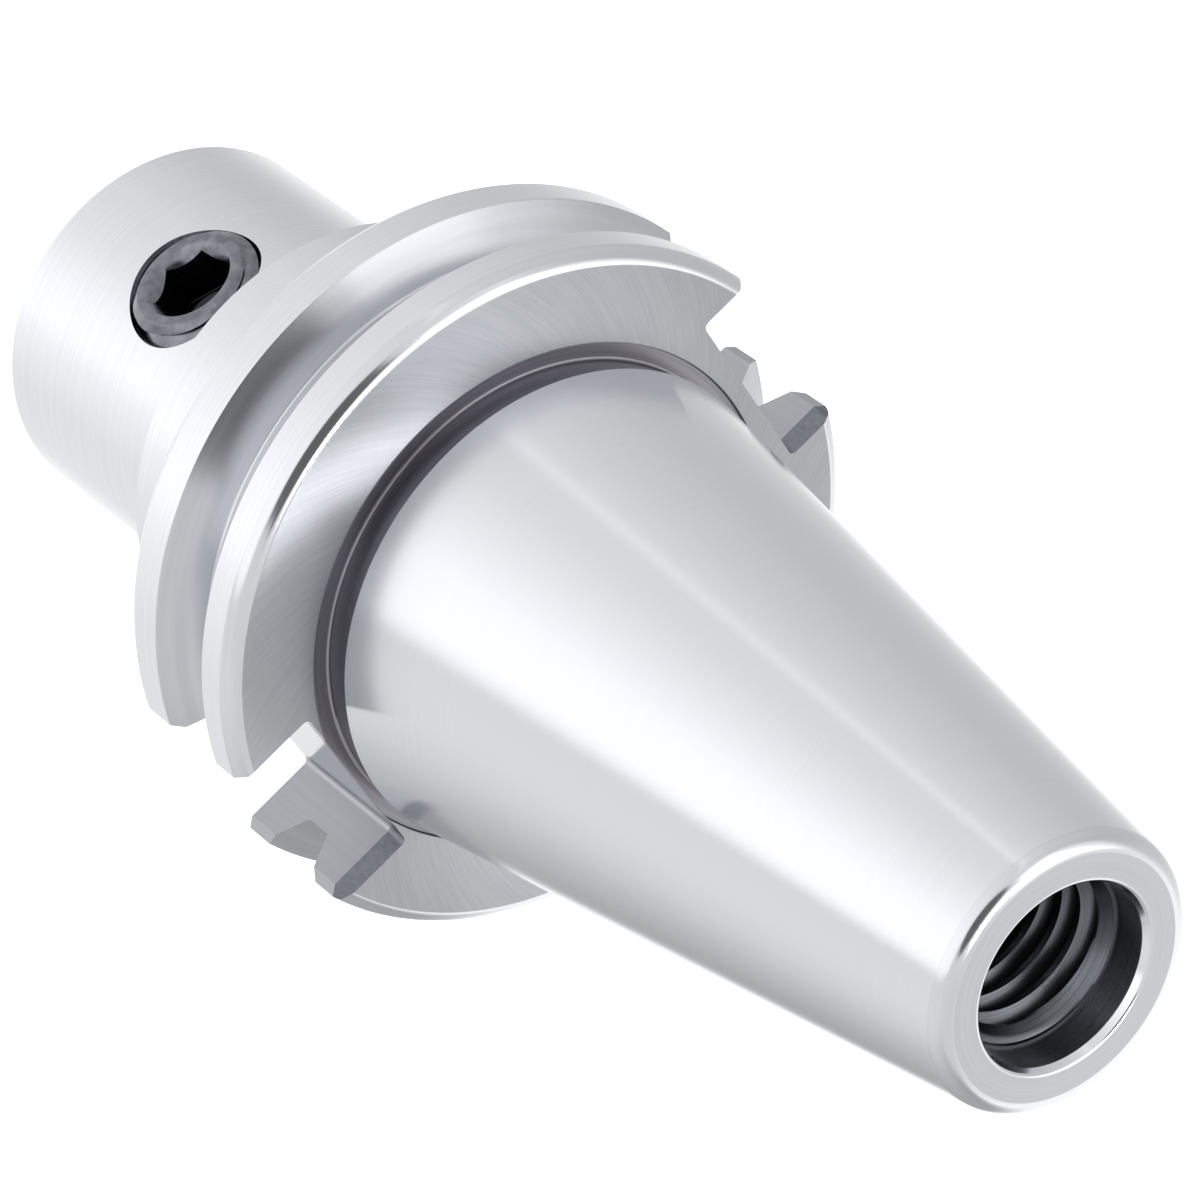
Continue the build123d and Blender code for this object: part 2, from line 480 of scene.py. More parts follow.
@dataclass(frozen=True)
class BlackOxide:
    """Black oxide on alloy steel: a thin oiled conversion coat, dark grey, with a satin shine."""

    name: str
    tint: str
    dark_tint: str
    roughness: float
    patch_size: float = 0.8
    detail: float = 4.0
    light_at: float = 0.75
    gloss_swing: float = 0.2
    relief: float = 0.15

    def material(self) -> Material:
        """Builds the material: a dark metal whose tone and gloss drift in patches of the given size.

        Returns:
            The material.
        """
        material, tree = start_material(self.name)
        place = add(tree, "TexCoord").outputs["Object"]
        patch = add(tree, "TexNoise", {"Vector": place, "Scale": 1 / (self.patch_size * MM),
                                       "Detail": self.detail})
        colour = add(tree, "ValToRGB", {"Fac": patch},
                     stops=[(NOISE_LOW, linear(self.dark_tint)), (self.light_at, linear(self.tint))])
        gloss = add(tree, "MapRange", {0: patch, 1: NOISE_LOW, 2: NOISE_HIGH,
                                       3: self.roughness * (1 - self.gloss_swing),
                                       4: self.roughness * (1 + self.gloss_swing)})
        bump = add(tree, "Bump", {"Height": patch, "Strength": self.relief,
                                  "Distance": RELIEF_HEIGHT * MM})
        end_metal(tree, {"Base Color": colour, "Roughness": gloss, "Normal": bump})
        return material


# The numbers of a cut steel are its roughness, its anisotropy, the spacing of its marks and their relief.
FINISHES: dict[Zone, CutSteel | CupGroundSteel] = {
    # Ground between centres: bright, with faint rings that draw each light out along the axis.
    Zone.NOSE: CutSteel("ground_nose_steel", "#E5E6EA", "#DFE0E5", 0.2, 0.74, 0.2, 0.03),
    Zone.LAND: CutSteel("ground_rim_steel", "#E5E6EA", "#DFE0E5", 0.2, 0.74, 0.18, 0.03),
    # Turned with a form tool: a little duller than the ground walls, its rings just seen.
    Zone.GROOVE: CutSteel("turned_groove_steel", "#D4D5DA", "#C8CACF", 0.2, 0.7, 0.25, 0.06),
    # Cup ground: satin grey, with crossing arcs and one leaning streak of light.
    Zone.FACE: CupGroundSteel("cup_ground_face_steel", "#BCBEC2", "#B1B3B8", 0.3, 0.97, 0.2, 0.035,
                              (-3.8, -3.3), 0.04),
    # Turned and left dark from hardening: dull grey rings.
    Zone.UNDERCUT: CutSteel("turned_undercut_steel", "#A3A1A7", "#929097", 0.28, 0.5, 0.25, 0.08),
    Zone.NECK: CutSteel("turned_neck_steel", "#94929A", "#83818A", 0.28, 0.5, 0.25, 0.08),
    # Finely ground: the smoothest wall, with long clear lights and no rings to be seen.
    Zone.TAPER: CutSteel("ground_taper_steel", "#E4E5E9", "#E2E3E8", 0.18, 0.74, 0.22, 0.006),
    # Milled along the axis: an even mid grey with little shine, and a paler floor.
    Zone.SLOT: CutSteel("milled_slot_steel", "#B0B2B7", "#A9ABB0", 0.3, 0.3, 0.15, 0.03, Lay.AXIAL),
    Zone.SLOT_FLOOR: CutSteel("milled_floor_steel", "#DCDDE1", "#D3D5D9", 0.3, 0.3, 0.15, 0.03,
                              Lay.AXIAL),
    # Filed by hand: a dark band beside the milled wall.
    Zone.SLOT_BREAK: CutSteel("filed_break_steel", "#84868D", "#767880", 0.26, 0.3, 0.3, 0.08,
                              Lay.AXIAL),
    # Turned inside: grey, and dark where little light comes in.
    Zone.BORE: CutSteel("turned_bore_steel", "#BCBEC4", "#A8AAB0", 0.28, 0.4, 0.3, 0.05),
    # Faced in the lathe: pale and even.
    Zone.END: CutSteel("turned_end_steel", "#C4C5C9", "#BEC0C4", 0.26, 0.2, 0.25, 0.03),
    # A fine turned chamfer: nearly a mirror, so it flashes.
    Zone.MOUTH: CutSteel("turned_mouth_steel", "#E5E6EA", "#DFE0E5", 0.12, 0.4, 0.2, 0.02),
    # Tapped steel, painted almost black as painted shade in the cross hole and on its edge break, with a
    # soft shine.
    Zone.HOLE: CutSteel("tapped_cross_hole_painted_shade_steel", "#5A5A66", "#46464F", 0.3, 0.4, 0.3, 0.1),
    # Polished rounding: a clear bright line beside a dark one.
    Zone.EDGE: CutSteel("polished_edge_steel", "#DFE0E4", "#DBDCE1", 0.14, 0.3, 0.2, 0.01),
}
# Tapped: flanks painted dark as painted shade deep in the small end, with a soft light along each crest.
THREAD_SHADE_FINISH = CutSteel("tapped_thread_painted_shade_steel", "#7C7E84", "#686A70", 0.24, 0.5, 0.3, 0.05)
# The screw's ground face, thread and broached socket are all black oxide; the socket is painted darker, as
# painted shade in the hollow.
SCREW_FINISH = BlackOxide("black_oxide_steel", "#8E8E96", "#707179", 0.19)
SOCKET_SHADE_FINISH = BlackOxide("black_oxide_socket_painted_shade", "#3C3C42", "#2C2C31", 0.3)


@dataclass
class Holder:
    """The one-piece body: turned, milled and ground."""

    gauge_r: float = 22.225
    gauge_z: float = 66.675
    slope: float = 7 / 48
    start_r: float = 22.25
    end_z: float = 134.925
    end_round: float = 1.6
    flange_r: float = 31.75
    rear_z: float = 47.625
    front_z: float = 63.5
    rear_break_r: float = 0.45
    rear_break_z: float = 0.8
    front_break_r: float = 1.03
    front_break_z: float = 0.84
    front_round: float = 1.2
    groove_z: float = 55.575
    groove_mouth: float = 7.38
    groove_floor: float = 2.9
    groove_angle: float = 60.0
    recess_r: float = 23.35
    recess_depth: float = 0.5
    neck_r: float = 21.6
    collar_r: float = 21.7
    collar_z: float = 31.675
    collar_break: float = 0.3
    nose_r: float = 17.5
    nose_break: float = 3.175
    bore_r: float = 6.35
    bore_depth: float = 54.0
    bore_break: float = 0.8
    passage_r: float = 4.0
    mouth_break_r: float = 0.4
    mouth_break_z: float = 0.7
    mouth_round: float = 0.35
    mouth_reach: float = 0.21
    pilot_r: float = 8.1
    tap_r: float = 6.75
    thread_end: float = 112.0
    knob_depth: float = 44.5
    drill_angle: float = 118.0
    slot_half: float = 8.19
    slot_floors: tuple[float, float] = (22.6, 25.0)
    slot_round: float = 0.6
    slot_face_y: float = 0.95
    slot_face_z: float = 1.45
    slot_rear: float = 1.05
    slot_mouth: float = 1.1
    slot_lean: float = 0.3
    screw_z: float = 21.6
    hole_r: float = 6.3
    hole_break: float = 0.28
    hole_start: float = 3.0
    crisp: float = 0.06
    crisp_mouth: float = 0.05
    plain_edge: float = 0.1
    soft_edge: float = 0.12
    pilot_edge: float = 0.2
    fillet: float = 0.3
    nose_fillet: float = 0.35
    flange_fillet: float = 0.4
    segments: int = 400
    hole_columns: int = 160
    corner_points: int = 7
    smooth_angle: float = 24.0

    @property
    def start_z(self) -> float:
        """Gives the height where the taper starts: it is start_r wide there, on the gauge line's cone."""
        return self.gauge_z - (self.start_r - self.gauge_r) / self.slope

    def outline(self) -> np.ndarray:
        """Gives the turned outline, up the outside and down through the bores.

        The groove's floor lies where its two flanks leave the flat of the given width, and the taper's
        radius falls from the gauge radius by the slope times the height above the gauge line.

        Returns:
            Array of radius and height with small broken edges.
        """
        flank = (self.groove_mouth - self.groove_floor) / 2
        groove_r = self.flange_r - flank / math.tan(math.radians(self.groove_angle / 2))
        end_r = self.gauge_r - self.slope * (self.end_z - self.gauge_z)
        tip = 1 / math.tan(math.radians(self.drill_angle / 2))
        knob_z = self.end_z - self.knob_depth
        mouth, floor = self.groove_mouth / 2, self.groove_floor / 2
        return rounded([
            (self.nose_r - self.nose_break, 0, self.soft_edge),
            (self.nose_r, self.nose_break, self.fillet),
            (self.nose_r, self.collar_z, self.nose_fillet),
            (self.collar_r - self.collar_break, self.collar_z, self.crisp),
            (self.collar_r, self.collar_z + self.collar_break, self.crisp),
            (self.collar_r, self.rear_z, self.flange_fillet),
            (self.flange_r - self.rear_break_r, self.rear_z, self.plain_edge),
            (self.flange_r, self.rear_z + self.rear_break_z, self.plain_edge),
            (self.flange_r, self.groove_z - mouth, self.soft_edge),
            (groove_r, self.groove_z - floor, self.fillet),
            (groove_r, self.groove_z + floor, self.fillet),
            (self.flange_r, self.groove_z + mouth, self.soft_edge),
            (self.flange_r, self.front_z - self.front_break_z, self.front_round),
            (self.flange_r - self.front_break_r, self.front_z, self.front_round),
            (self.recess_r, self.front_z, self.crisp),
            (self.recess_r, self.front_z - self.recess_depth, self.soft_edge),
            (self.neck_r, self.front_z - self.recess_depth, self.fillet),
            (self.neck_r, self.start_z - (self.start_r - self.neck_r), self.plain_edge),
            (self.start_r, self.start_z, self.plain_edge),
            (end_r, self.end_z, self.end_round),
            (self.pilot_r + self.mouth_break_r, self.end_z, self.mouth_round),
            (self.pilot_r, self.end_z - self.mouth_break_z, self.pilot_edge),
            (self.pilot_r, self.thread_end, 0),
            (self.tap_r, self.thread_end, 0),
            (self.tap_r, knob_z, self.plain_edge),
            (self.passage_r, knob_z - tip * (self.tap_r - self.passage_r), self.plain_edge),
            (self.passage_r, self.bore_depth, self.plain_edge),
            (self.bore_r, self.bore_depth, self.plain_edge),
            (self.bore_r, self.bore_break, self.plain_edge),
            (self.bore_r + self.bore_break, 0, self.crisp_mouth),
        ])

    def blank(self) -> Piece:
        """Turns the outline.

        Point (i, j) is (r cos a, r sin a, z), with r and z from row i and a from column j.

        Returns:
            The body before it is cut.
        """
        outline = self.outline()
        angle = np.arange(self.segments) * 2 * np.pi / self.segments
        r, z = outline[:, :1], outline[:, 1:]
        points = np.stack([r * np.cos(angle), r * np.sin(angle), z + 0 * angle], axis=-1)
        faces = grid_quads(len(outline), self.segments, close_rows=True)
        return make_mesh("holder", points.reshape(-1, 3), faces.tolist())

    def slot_cutter(self, floor: float, side: int) -> Piece:
        """Builds the cutter of one drive slot.

        Each level is the same closed outline: a floor with rounded corners, two walls, and a mouth that
        flares at 45 degrees. The walls stand at the slot's half width plus what the breaks at the rear
        and front faces add at that height.

        Args:
            floor: Distance of the slot's floor from the axis.
            side: 1 for the slot at +X and -1 for the one at -X.

        Returns:
            The cutter.
        """
        reach = self.flange_r + 3 * OVERSHOOT
        corner = math.sqrt(self.flange_r ** 2 - self.slot_half ** 2) - self.slot_mouth
        levels = np.array([self.rear_z - OVERSHOOT, self.rear_z + self.slot_rear,
                           self.front_z - self.slot_face_z, self.front_z + OVERSHOOT])
        lean = self.slot_face_y / self.slot_face_z
        extra = np.array([self.slot_rear + OVERSHOOT, 0, 0, (self.slot_face_z + OVERSHOOT) * lean])
        arc = np.linspace(0, np.pi / 2, self.corner_points)
        x = np.concatenate([[floor], floor + self.slot_round * (1 - np.cos(arc)),
                            [floor + self.slot_round + GUARD, corner, reach]])
        inset = np.concatenate([[self.slot_round + GUARD], self.slot_round * (1 - np.sin(arc)),
                                [0, 0, corner - reach]])
        half = self.slot_half + extra[:, None] - inset[None, :]
        xs = np.broadcast_to(x, half.shape)
        ring_x = np.concatenate([xs, xs[:, ::-1]], axis=1)
        ring_y = np.concatenate([half, -half[:, ::-1]], axis=1)
        ring_z = np.broadcast_to(levels[:, None], ring_x.shape)
        return make_capped("slot_cutter", np.stack([ring_x * side, ring_y * side, ring_z], axis=-1), True)

    def hole_cutter(self) -> Piece:
        """Builds the cutter of the set screw's hole, with an edge break of the same width all round.

        At radius k and bearing a about the hole, the nose's surface lies sqrt(R^2 - (k cos a)^2) from the
        holder's axis. The break meets it at the hole's radius plus the break, and the wall that far
        below.

        Returns:
            The cutter.
        """
        turn = np.arange(self.hole_columns) * 2 * np.pi / self.hole_columns
        wide = self.hole_r + self.hole_break
        surface = np.sqrt(self.nose_r ** 2 - (wide * np.cos(turn)) ** 2)
        outer = wide + self.hole_break
        r = np.array([self.hole_r, self.hole_r, outer, outer])[:, None]
        depth = np.stack([np.full_like(turn, self.bore_r / 2), surface - self.hole_break,
                          surface + self.hole_break, np.full_like(turn, self.nose_r + OVERSHOOT)])
        rings = np.stack([r * np.cos(turn), -depth, self.screw_z + r * np.sin(turn)], axis=-1)
        return make_capped("hole_cutter", rings, False)

    def zones(self, mesh: Mesh) -> np.ndarray:
        """Finds each face's zone from where its centre lies and which way it looks.

        A face's outward and sideways parts are its normal along and across the line from the axis. Later
        zones take faces from earlier ones.

        Args:
            mesh: The finished body.

        Returns:
            Zone number of each face.
        """
        centre, normal = face_facts(mesh)
        x, y, z = centre.T
        r = np.hypot(x, y)
        outward = (x * normal[:, 0] + y * normal[:, 1]) / np.maximum(r, NEAR)
        sideways = np.abs(x * normal[:, 1] - y * normal[:, 0]) / np.maximum(r, NEAR)
        up = normal[:, 2]
        zone = np.full(len(z), Zone.NOSE)

        flange = (z > self.rear_z - NEAR / 2) & (z < self.front_z + NEAR / 2)
        in_groove = np.abs(z - self.groove_z) < self.groove_mouth / 2
        near_rim = ((z > self.front_z - 2 * self.front_break_z)
                    & (r > self.flange_r - 2 * self.front_break_r))
        zone[flange] = Zone.LAND
        zone[in_groove & (r < self.flange_r - NEAR)] = Zone.GROOVE
        zone[flange & (z > self.front_z - NEAR) & (up > UPWARD)] = Zone.FACE
        zone[flange & near_rim & (up > TILT) & (up < LEVEL)] = Zone.EDGE

        recess_z = self.front_z - self.recess_depth
        zone[(z > recess_z - NEAR_ARC) & (r < self.recess_r + NEAR)] = Zone.UNDERCUT
        zone[(z > recess_z + self.fillet / 2) & (r < self.neck_r + NEAR_ARC)] = Zone.NECK
        zone[z > self.start_z - NEAR_ARC] = Zone.TAPER
        zone[(z > self.end_z - self.end_round) & (up > UPWARD)] = Zone.EDGE
        zone[(z > self.end_z - NEAR) & (up > LEVEL)] = Zone.END

        floor = np.where(x > 0, *self.slot_floors)
        slot_side = self.slot_half + self.slot_mouth + self.slot_face_y
        milled = flange & (sideways > TILT) & (np.abs(x) > floor - NEAR_ARC) & (np.abs(y) < slot_side)
        zone[milled] = Zone.SLOT
        zone[milled & (np.abs(normal[:, 0]) > SQUARE)] = Zone.SLOT_FLOOR
        zone[milled & (up > self.slot_lean)] = Zone.SLOT_BREAK

        mouth_r, mouth_z = self.pilot_r + self.mouth_break_r, self.end_z - self.mouth_break_z
        inside = (r < mouth_r) & (z > self.bore_break) & (z < mouth_z)
        zone[inside | ((outward < -TILT) & (r < mouth_r))] = Zone.BORE
        zone[(z > mouth_z - NEAR) & (r < mouth_r + self.mouth_reach)] = Zone.MOUTH

        # The cross hole and its edge break take the hole's painted shade.
        about = np.hypot(x, z - self.screw_z)
        in_hole = (about < self.hole_r + self.hole_break + NEAR / 2) & (r < self.nose_r - NEAR / 5)
        zone[in_hole & (y < -self.hole_start)] = Zone.HOLE
        return zone

    def build(self) -> Piece:
        """Builds the body's shell, cuts it, and gives each zone its finish.

        Returns:
            The piece, riding on the holder body in place of its solid.
        """
        body = self.blank()
        deep, shallow = self.slot_floors
        cut_away(body, [self.slot_cutter(deep, 1), self.slot_cutter(shallow, -1), self.hole_cutter()])
        mesh = body.data
        mesh.materials.clear()
        for zone in Zone:
            mesh.materials.append(FINISHES[zone].material())
        mesh.polygons.foreach_set("material_index", self.zones(mesh).astype(np.int32))
        smooth_shade(mesh, self.smooth_angle)
        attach(body, "holder")
        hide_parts("holder_body")
        return body


@dataclass
class KnobThread:
    """The 5/8-11 thread in the small end, under its pilot bore."""

    pitch: float = 25.4 / 11
    minor_r: float = 6.75
    depth: float = 1.19
    outer_r: float = 8.1
    top: float = 131.025
    bottom: float = 112.0
    root_share: float = 1 / 8
    crest_share: float = 1 / 4
    lead_angle: float = 30.0
    columns: int = 192
    rows_per_pitch: int = 16
    smooth_angle: float = 40.0

    def build(self) -> Piece:
        """Builds the threaded ring.

        The inner wall's radius is the minor radius plus the depth times how far the point lies towards
        the root of a 60 degree thread, whose flats take their shares of the pitch. Near the top it
        follows the lead cone where that is wider.

        Returns:
            The piece, riding on the holder body.
        """
        turn = np.linspace(0, 2 * np.pi, self.columns + 1)
        z, profile = helix_rows(self.pitch, self.bottom, self.top, self.rows_per_pitch, turn)
        from_root = np.abs(profile - 0.5)
        foot = (1 - self.crest_share) / 2
        flank = foot - self.root_share / 2
        thread = self.minor_r + self.depth * np.clip((foot - from_root) / flank, 0, 1)
        lead = self.minor_r + self.depth - (self.top - z) * math.tan(math.radians(self.lead_angle))
        r = np.where(z <= self.bottom, self.minor_r, np.maximum(thread, lead))
        back = np.array([(self.minor_r, self.bottom), (self.outer_r, self.bottom),
                         (self.outer_r, self.top), (self.minor_r + self.depth, self.top)])
        back = back[:, :, None] + 0 * turn
        grids = [np.stack([radius * np.cos(turn), radius * np.sin(turn), height], axis=-1)
                 for radius, height in ((r, z), (back[:, 0], back[:, 1]))]
        piece = make_shell("knob_thread", grids)
        smooth_shade(piece.data, self.smooth_angle)
        # The thread's steel is painted dark as painted shade deep in the bore.
        piece.data.materials.append(THREAD_SHADE_FINISH.material())
        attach(piece, "holder")
        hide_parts("holder_body")
        return piece


@dataclass
class SetScrew:
    """The socket set screw, seen end on in the side of the nose."""

    height: float = 21.6
    face_y: float = 17.95
    point_y: float = 6.85
    crest_r: float = 6.24
    root_r: float = 5.32
    pitch: float = 25.4 / 13
    root_share: float = 1 / 8
    crest_share: float = 1 / 8
    point_r: float = 4.15
    point_cone: float = 0.85
    face_r: float = 5.2
    across: float = 6.35
    socket_turn: float = 37.5
    socket_depth: float = 5.2
    wall_lean: float = 0.5
    drill_angle: float = 118.0
    drill_share: float = 0.95
    mouth_r: float = 4.2
    mouth_slope: float = 1.0
    edge: float = 0.04
    columns: int = 240
    rows_per_pitch: int = 16
    smooth_angle: float = 28.0

    def socket(self, turn: np.ndarray) -> np.ndarray:
        """Works out the socket and the face, from the socket's deepest point out to the face's rim.

        The hexagon's radius at bearing a is half its width over the cosine of the bearing from the nearest
        flat. A shallow cone opens its mouth to a circle, and a drill's cone ends it.

        Args:
            turn: Bearings of the columns about the screw's axis.

        Returns:
            Radius and distance from the holder's axis, rows by 2 by columns.
        """
        half, edge = self.across / 2, self.edge
        sector = np.mod(turn - math.radians(self.socket_turn), np.pi / 3)
        hexagon = half / np.cos(sector - np.pi / 6)
        drill_r = self.drill_share * half
        floor = self.face_y - self.socket_depth
        tip = half / math.tan(math.radians(self.drill_angle / 2))
        cone = self.face_y - (self.mouth_r - hexagon) * self.mouth_slope
        rise = edge * self.mouth_slope
        rows = [
            (0, floor - tip),
            (drill_r, floor - (1 - self.drill_share) * tip),
            (drill_r + edge, floor),
            (hexagon - edge, floor),
            (hexagon, floor + edge),
            (hexagon, cone - edge),
            (hexagon + edge, cone + rise),
            (self.mouth_r - edge, self.face_y - rise),
            (self.mouth_r + edge, self.face_y),
            (self.face_r - edge, self.face_y),
            (self.face_r + edge, self.face_y - edge),
        ]
        return np.array([np.broadcast_arrays(radius, place, turn)[:2] for radius, place in rows])

    def thread(self, turn: np.ndarray) -> tuple[np.ndarray, np.ndarray]:
        """Works out the thread, run out by a 45 degree cone at each end.

        The radius rises from root to crest over the flanks, whose share of the pitch is what the two
        flats leave.

        Args:
            turn: Bearings of the columns.

        Returns:
            Radius and distance from the holder's axis, rows by columns.
        """
        front, back = self.face_y - self.edge, self.point_y + self.point_cone
        place, profile = helix_rows(self.pitch, back, front, self.rows_per_pitch, turn)
        flank = (1 - self.root_share - self.crest_share) / 2
        rise = np.clip((np.abs(profile - 0.5) - self.root_share / 2) / flank, 0, 1)
        ridge = self.root_r + (self.crest_r - self.root_r) * rise
        cones = np.minimum(self.face_r + self.face_y - place, self.point_r + place - self.point_y)
        return np.minimum(ridge, cones), place

    def in_socket(self, mesh: Mesh) -> np.ndarray:
        """Gives 1 for each face of the socket's walls and floor, which take the socket's painted shade, and
        0 for the rest of the screw.
        """
        centre, normal = face_facts(mesh)
        about = np.hypot(centre[:, 0], centre[:, 2] - self.height)
        hollow = (about < self.mouth_r) & (centre[:, 1] < -self.point_y - self.point_cone)
        wall = normal[:, 1] > -self.wall_lean
        deep = self.face_y + centre[:, 1] > self.socket_depth / 2
        return (hollow & (wall | deep)).astype(np.int32)

    def build(self) -> Piece:
        """Builds the screw: (x, z) turn about the screw's axis and y runs along it.

        Returns:
            The piece, riding on the screw body in place of its solid.
        """
        turn = np.linspace(0, 2 * np.pi, self.columns + 1)
        front = self.socket(turn)
        back = np.array([(self.point_r + self.point_cone, self.point_y + self.point_cone),
                         (self.point_r, self.point_y), (0, self.point_y)])
        back = back[:, :, None] + 0 * turn
        parts = ((front[:, 0], front[:, 1]), self.thread(turn), (back[:, 0], back[:, 1]))
        grids = [np.stack([radius * np.cos(turn), -place, self.height + radius * np.sin(turn)], axis=-1)
                 for radius, place in parts]
        piece = make_shell("screw", grids)
        smooth_shade(piece.data, self.smooth_angle)
        # The second material is the socket's oxide, painted darker as painted shade in the hollow.
        for finish in (SCREW_FINISH, SOCKET_SHADE_FINISH):
            piece.data.materials.append(finish.material())
        piece.data.polygons.foreach_set("material_index", self.in_socket(piece.data))
        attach(piece, "screw")
        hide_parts("set_screw")
        return piece


@dataclass(frozen=True)
class Panel:
    """A lit rectangle in the tent's wall. Its half sizes and soft edge are tangents, and 1 is white."""

    bearing: float
    height: float
    half_width: float
    half_height: float
    soft: float
    level: float


@dataclass
class Studio:
    """White sweep, soft light from all round, and the camera at the photograph's angle.

    A band gives the tone that a mirror of the steel's reflectance shows at each bearing, from 0 to 255.
    Heights on the tent are the upward part of a direction of length 1.
    """

    eye: tuple[float, float, float] = (78.15, -361.384, 440.801)
    target: tuple[float, float, float] = (-2.369, -0.529, 69.273)
    roll: float = 126.1215
    focal_px: float = 6182.36
    image_px: int = 1200
    sensor: float = 36.0
    clip_m: tuple[float, float] = (0.01, 20)
    floor_side: float = 4000.0
    floor_drop: float = 0.02
    floor_glow: float = 0.6
    reflectance: float = 0.76
    brightest: float = 1.35
    low_band: tuple = ((-180, 190), (-150, 205), (-120, 217), (-86, 229), (-50, 253), (-35, 256),
                       (-20, 248), (12, 226), (60, 226), (93, 253), (110, 250), (126, 234), (160, 192),
                       (180, 190))
    mid_band: tuple = ((-180, 186), (-145, 201), (-127, 213), (-122, 229), (-117, 212), (-100, 219),
                       (-85, 231), (-60, 252), (-37, 255), (-32, 246), (-26, 212), (-10, 216), (3, 215),
                       (20, 205), (40, 183), (62, 164), (74, 160), (79, 200), (84, 250), (108, 255),
                       (117, 245), (124, 221), (136, 199), (160, 186), (180, 186))
    high_band: tuple = ((-180, 232), (-150, 222), (-120, 212), (-40, 210), (70, 205), (100, 205),
                        (115, 222), (140, 236), (180, 232))
    low_to_mid: tuple[float, float] = (-0.71, -0.66)
    mid_to_high: tuple[float, float] = (0.52, 0.72)
    panels: tuple[Panel, ...] = (
        Panel(170, 62, 0.56, 0.22, 0.04, 1.5),
        Panel(165, 79, 0.14, 0.08, 0.05, 4.0),
        Panel(102, 84, 0.1, 0.1, 0.03, 20.0),
    )
    opening: tuple[float, float, float] = (-75, 60, 20)
    opening_soft: float = 2.0
    opening_level: float = 0.14
    least_ahead: float = 0.05

    def stops(self, band: tuple) -> list[tuple[float, tuple]]:
        """Turns bearings in degrees and levels seen in the steel into ramp stops.

        The ramp's position is bearing / 360 + 0.5. The light is what the steel shows over its
        reflectance.

        Args:
            band: Bearing and sRGB level of each stop.

        Returns:
            Position and linear colour of each stop.
        """
        lights = [min(to_light(level / 255) / self.reflectance, self.brightest) for _, level in band]
        return [(bearing / 360 + 0.5, (light, light, light, 1.0))
                for (bearing, _), light in zip(band, lights)]

    def toward(self, bearing: float, height: float) -> Vector:
        """Gives the direction of a bearing and a height above the horizon, both in degrees."""
        a, h = math.radians(bearing), math.radians(height)
        return Vector((math.cos(h) * math.cos(a), math.cos(h) * math.sin(a), math.sin(h)))

    def window(self, tree: Tree, way: Socket, panel: Panel) -> Node:
        """Masks one lit panel, seen straight on along its own direction.

        A direction's place in the panel is its sideways and upward parts over its forward part, and the
        mask falls off softly past the half width and the half height.

        Args:
            tree: Node tree of the world.
            way: Socket with the direction.
            panel: The rectangle.

        Returns:
            Node whose output is 1 in the panel and 0 outside.
        """
        front = self.toward(panel.bearing, panel.height)
        sides = ((self.toward(panel.bearing + 90, 0), panel.half_width),
                 (self.toward(panel.bearing, panel.height + 90), panel.half_height))
        ahead = add(tree, "VectorMath", {0: way, 1: front}, operation="DOT_PRODUCT")
        ahead = add(tree, "Math", {0: ahead.outputs["Value"], 1: self.least_ahead}, operation="MAXIMUM")
        masks = []
        for axis, half in sides:
            part = add(tree, "VectorMath", {0: way, 1: axis}, operation="DOT_PRODUCT")
            place = add(tree, "Math", {0: part.outputs["Value"], 1: ahead}, operation="DIVIDE")
            place = add(tree, "Math", {0: place}, operation="ABSOLUTE")
            masks.append(add(tree, "MapRange",
                             {0: place, 1: half - panel.soft, 2: half + panel.soft, 3: 1.0, 4: 0.0},
                             interpolation_type="SMOOTHSTEP"))
        return add(tree, "Math", {0: masks[0], 1: masks[1]}, operation="MULTIPLY")

    def disc(self, tree: Tree, way: Socket) -> Node:
        """Masks the round opening that the camera looks through, 1 within its radius and 0 outside."""
        bearing, height, radius = self.opening
        near = add(tree, "VectorMath", {0: way, 1: self.toward(bearing, height)}, operation="DOT_PRODUCT")
        far = math.cos(math.radians(radius + self.opening_soft))
        full = math.cos(math.radians(radius - self.opening_soft))
        return add(tree, "MapRange", {0: near.outputs["Value"], 1: far, 2: full},
                   interpolation_type="SMOOTHSTEP")

    def make_world(self) -> None:
        """Lights the scene with a tent, white to the camera.

        Bands of brightness by bearing pass into each other with height. The camera's opening lies over
        them, and the lit panels lie over both.
        """
        world = bpy.data.worlds.new("light_tent")
        bpy.context.scene.world = world
        world.use_nodes = True
        tree = world.node_tree
        tree.nodes.clear()
        way = add(tree, "TexCoord").outputs["Generated"]
        bearing = add(tree, "TexGradient", {"Vector": way}, gradient_type="RADIAL").outputs["Fac"]
        height = add(tree, "SeparateXYZ", {0: way}).outputs["Z"]
        tent = add(tree, "ValToRGB", {"Fac": bearing}, stops=self.stops(self.low_band)).outputs[0]
        layers = []
        for band, (start, end) in ((self.mid_band, self.low_to_mid), (self.high_band, self.mid_to_high)):
            share = add(tree, "MapRange", {0: height, 1: start, 2: end}, interpolation_type="SMOOTHSTEP")
            layers.append((share, add(tree, "ValToRGB", {"Fac": bearing}, stops=self.stops(band))))
        dark = self.opening_level
        layers.append((self.disc(tree, way), (dark, dark, dark, 1)))
        for panel in self.panels:
            layers.append((self.window(tree, way, panel), (panel.level, panel.level, panel.level, 1)))
        layers.append((add(tree, "LightPath").outputs["Is Camera Ray"], WHITE))
        for mask, colour in layers:
            tent = add(tree, "Mix", {0: mask, 6: tent, 7: colour}, data_type="RGBA").outputs[2]
        sky = add(tree, "Background", {"Color": tent, "Strength": 1.0})
        add(tree, "OutputWorld", {"Surface": sky})

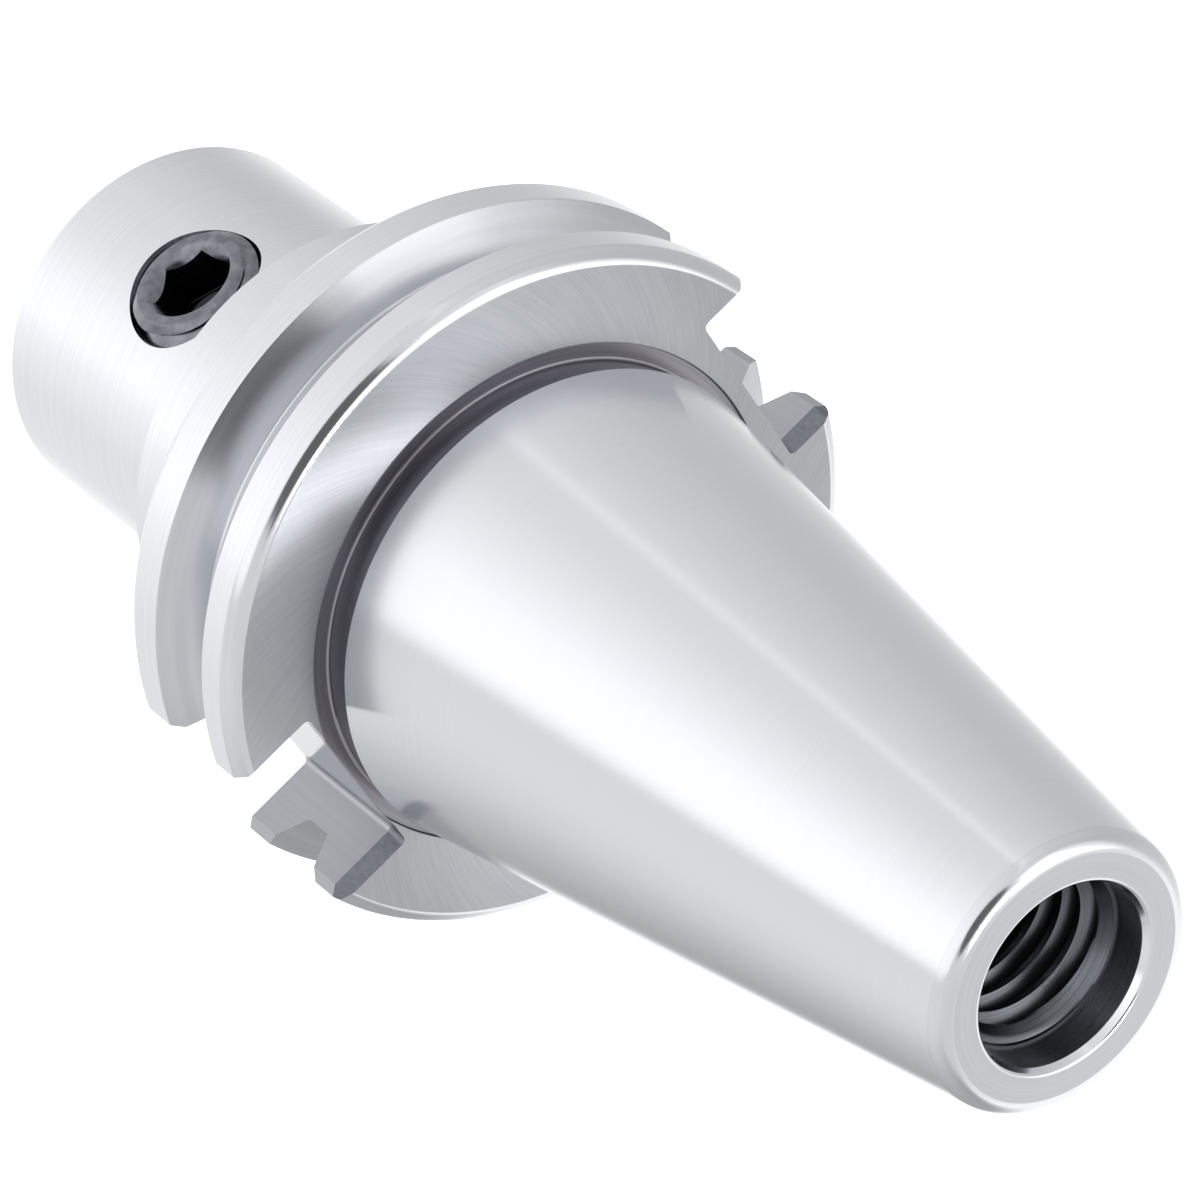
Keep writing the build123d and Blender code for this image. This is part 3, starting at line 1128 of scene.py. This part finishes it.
    def make_floor(self) -> Piece:
        """Lays the pale floor, white to the camera where no shadow falls.

        Returns:
            The floor.
        """
        side, drop = self.floor_side, -self.floor_drop
        corners = np.array([(-side, -side, drop), (side, -side, drop), (side, side, drop),
                            (-side, side, drop)])
        floor = make_mesh("floor", corners, [[0, 1, 2, 3]])
        material, tree = start_material("white_card")
        ray = add(tree, "LightPath").outputs
        seen = add(tree, "Math", {0: ray["Is Camera Ray"], 1: ray["Is Glossy Ray"]}, operation="MAXIMUM")
        seen = add(tree, "Math", {0: seen, 1: ray["Is Transmission Ray"]}, operation="MAXIMUM")
        level = add(tree, "Math", {0: seen, 1: self.floor_glow}, operation="MULTIPLY")
        card = add(tree, "BsdfDiffuse", {"Color": linear("#EDEDED")})
        glow = add(tree, "Emission", {"Color": WHITE, "Strength": level})
        both = add(tree, "AddShader", {0: card, 1: glow})
        add(tree, "OutputMaterial", {"Surface": both})
        floor.data.materials.append(material)
        floor.visible_glossy = False
        return floor

    def make_camera(self) -> Piece:
        """Sets the camera at the photograph's viewpoint.

        The camera looks along eye to target, turned about that line by the roll, and its lens in
        millimetres is the focal length in pixels times the sensor's width over the image's.

        Returns:
            The camera.
        """
        data = bpy.data.cameras.new("camera")
        data.sensor_width = self.sensor
        data.lens = self.focal_px * self.sensor / self.image_px
        data.clip_start, data.clip_end = self.clip_m
        camera = bpy.data.objects.new("camera", data)
        bpy.context.scene.collection.objects.link(camera)
        eye, target = Vector(self.eye) * MM, Vector(self.target) * MM
        aim = (target - eye).to_track_quat("-Z", "Y").to_matrix().to_4x4()
        roll = Matrix.Rotation(math.radians(self.roll), 4, "Z")
        camera.matrix_world = Matrix.Translation(eye) @ aim @ roll
        bpy.context.scene.camera = camera
        return camera

    def build(self) -> None:
        """Makes the camera, the floor and the light."""
        self.make_camera()
        self.make_floor()
        self.make_world()
        bpy.context.scene.view_settings.view_transform = "Standard"


def main() -> None:
    """Builds the studio and the pieces in order."""
    logging.basicConfig(level=logging.INFO, format="%(message)s")
    Studio().build()
    for maker in (Holder(), KnobThread(), SetScrew()):
        piece = maker.build()
        log.info("%s: %d faces", piece.name, len(piece.data.polygons))


if __name__ == "__main__":
    main()
